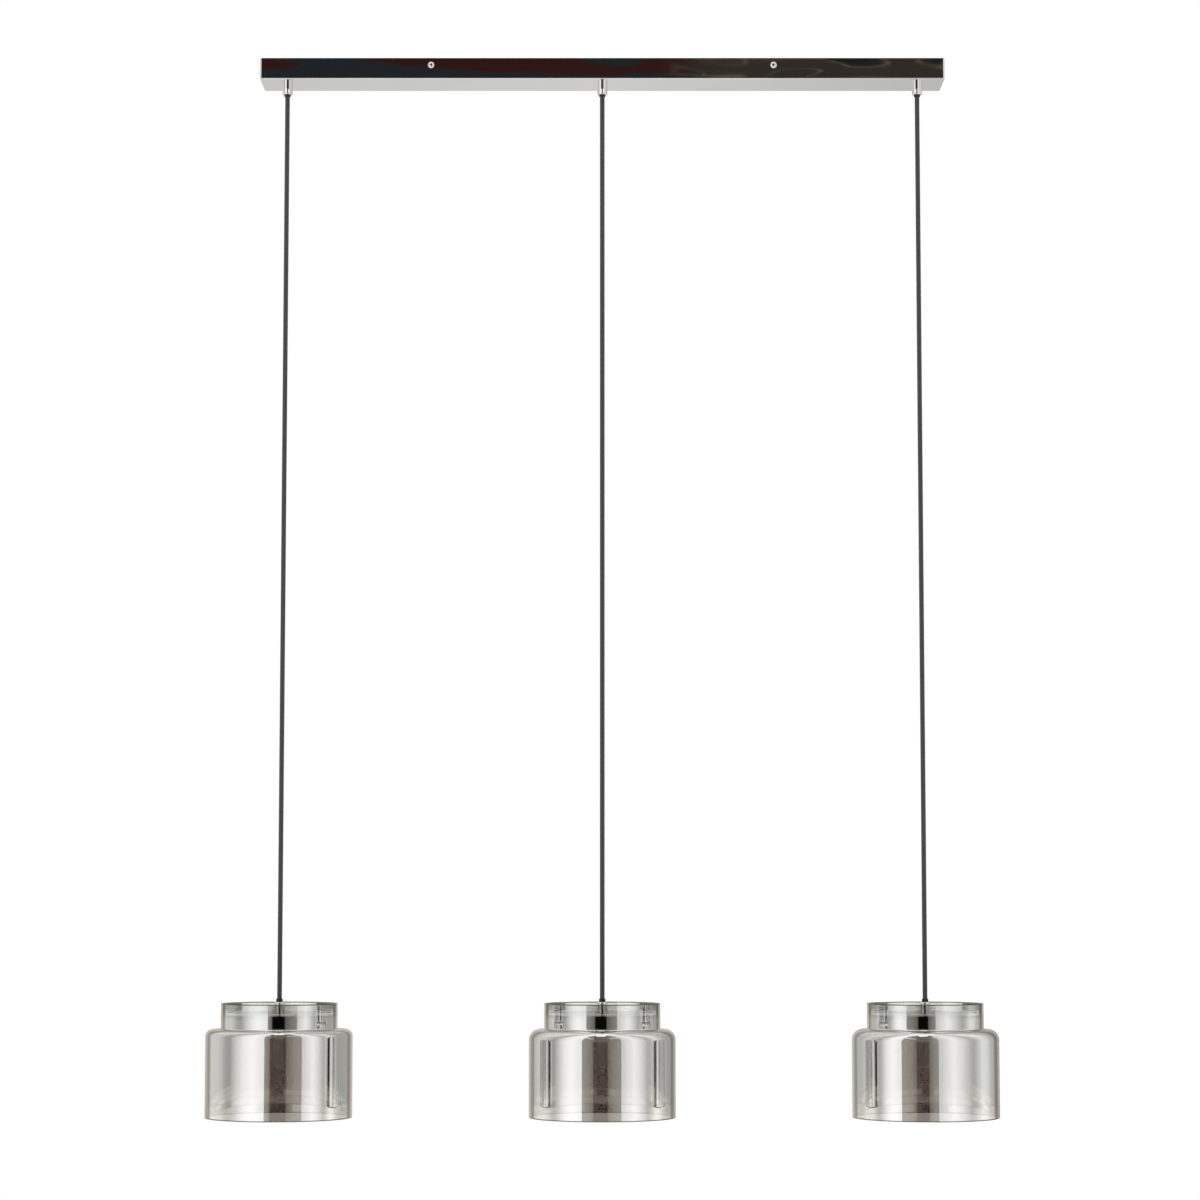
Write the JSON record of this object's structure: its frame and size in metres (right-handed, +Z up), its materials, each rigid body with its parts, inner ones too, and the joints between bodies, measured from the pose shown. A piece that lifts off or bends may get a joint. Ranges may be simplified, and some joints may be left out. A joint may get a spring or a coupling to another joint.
{
  "type": "linear island pendant",
  "caption": "Linear pendant light: a polished ceiling bar with mirrored glass bell shades, each hung on its own straight black cord.",
  "frame": {"origin": "middle of the ceiling plane, on the top face of the mounting bracket", "axes": "+Z up to the ceiling, +X along the bar to the right, -Y the front, towards the viewer"},
  "size_m": [0.908, 0.168, 1.2275],
  "materials": {
    "polished_chrome": "mirror polish",
    "smoked_mirror_glass": "glossy, half-silvered smoke tint",
    "cord_braid": "matte braid",
    "black_plastic": "satin",
    "zinc_steel": "zinc plated",
    "brass": "machined",
    "white_plastic": "moulded",
    "earth_insulation": "green and yellow wire",
    "clear_rubber": "translucent silicone",
    "holder_ceramic": "unglazed",
    "lamp_glass": "frosted"
  },
  "bodies": {
    "ceiling_bar": {"canopy_cover": "polished_chrome", "mounting_bracket": "zinc_steel", "cover_screws": "polished_chrome", "terminal_block": "white_plastic", "terminal_clamps": "brass", "terminal_screws": "zinc_steel", "block_screws": "zinc_steel", "earth_screw": "zinc_steel", "earth_lead": "earth_insulation", "grip_washers": "zinc_steel", "grip_nuts": "brass", "inner_lead_left": "cord_braid", "ceiling_grip_left": "polished_chrome", "ceiling_collet_left": "black_plastic", "inner_lead_centre": "cord_braid", "ceiling_grip_centre": "polished_chrome", "ceiling_collet_centre": "black_plastic", "inner_lead_right": "cord_braid", "ceiling_grip_right": "polished_chrome", "ceiling_collet_right": "black_plastic"},
    "cord_top_left": {"cord_bend_left": "cord_braid"},
    "cord_left": {"pendant_cord_left": "cord_braid"},
    "pendant_left": {"lower_grip_left": "polished_chrome", "lower_collet_left": "black_plastic", "cord_tail_left": "cord_braid", "shade_cap_left": "polished_chrome", "cap_fasteners_left": "zinc_steel", "cap_gasket_left": "clear_rubber", "glass_shade_left": "smoked_mirror_glass", "lampholder_left": "holder_ceramic", "shade_washer_left": "clear_rubber", "shade_ring_left": "polished_chrome", "capsule_lamp_left": "lamp_glass"},
    "cord_top_centre": {"cord_bend_centre": "cord_braid"},
    "cord_centre": {"pendant_cord_centre": "cord_braid"},
    "pendant_centre": {"lower_grip_centre": "polished_chrome", "lower_collet_centre": "black_plastic", "cord_tail_centre": "cord_braid", "shade_cap_centre": "polished_chrome", "cap_fasteners_centre": "zinc_steel", "cap_gasket_centre": "clear_rubber", "glass_shade_centre": "smoked_mirror_glass", "lampholder_centre": "holder_ceramic", "shade_washer_centre": "clear_rubber", "shade_ring_centre": "polished_chrome", "capsule_lamp_centre": "lamp_glass"},
    "cord_top_right": {"cord_bend_right": "cord_braid"},
    "cord_right": {"pendant_cord_right": "cord_braid"},
    "pendant_right": {"lower_grip_right": "polished_chrome", "lower_collet_right": "black_plastic", "cord_tail_right": "cord_braid", "shade_cap_right": "polished_chrome", "cap_fasteners_right": "zinc_steel", "cap_gasket_right": "clear_rubber", "glass_shade_right": "smoked_mirror_glass", "lampholder_right": "holder_ceramic", "shade_washer_right": "clear_rubber", "shade_ring_right": "polished_chrome", "capsule_lamp_right": "lamp_glass"}
  },
  "joints": [
    {"name": "swing_left", "type": "hinge", "parent": "ceiling_bar", "child": "cord_top_left", "pos_m": [-0.37, 0, -0.04225], "axis": [1, 0, 0], "range_deg": [-30, 30]},
    {"name": "sway_left", "type": "hinge", "parent": "cord_top_left", "child": "cord_left", "pos_m": [-0.37, 0, -0.07825], "axis": [0, 1, 0], "range_deg": [-9, 9]},
    {"name": "drop_left", "type": "slide", "parent": "cord_left", "child": "pendant_left", "axis": [0, 0, 1], "range_m": [0, 0.9], "deforming": ["pendant_cord_left"]},
    {"name": "swing_centre", "type": "hinge", "parent": "ceiling_bar", "child": "cord_top_centre", "pos_m": [0, 0, -0.04225], "axis": [1, 0, 0], "range_deg": [-30, 30]},
    {"name": "sway_centre", "type": "hinge", "parent": "cord_top_centre", "child": "cord_centre", "pos_m": [0, 0, -0.07825], "axis": [0, 1, 0], "range_deg": [-9, 9]},
    {"name": "drop_centre", "type": "slide", "parent": "cord_centre", "child": "pendant_centre", "axis": [0, 0, 1], "range_m": [0, 0.9], "deforming": ["pendant_cord_centre"]},
    {"name": "swing_right", "type": "hinge", "parent": "ceiling_bar", "child": "cord_top_right", "pos_m": [0.37, 0, -0.04225], "axis": [1, 0, 0], "range_deg": [-30, 30]},
    {"name": "sway_right", "type": "hinge", "parent": "cord_top_right", "child": "cord_right", "pos_m": [0.37, 0, -0.07825], "axis": [0, 1, 0], "range_deg": [-9, 9]},
    {"name": "drop_right", "type": "slide", "parent": "cord_right", "child": "pendant_right", "axis": [0, 0, 1], "range_m": [0, 0.9], "deforming": ["pendant_cord_right"]}
  ]
}
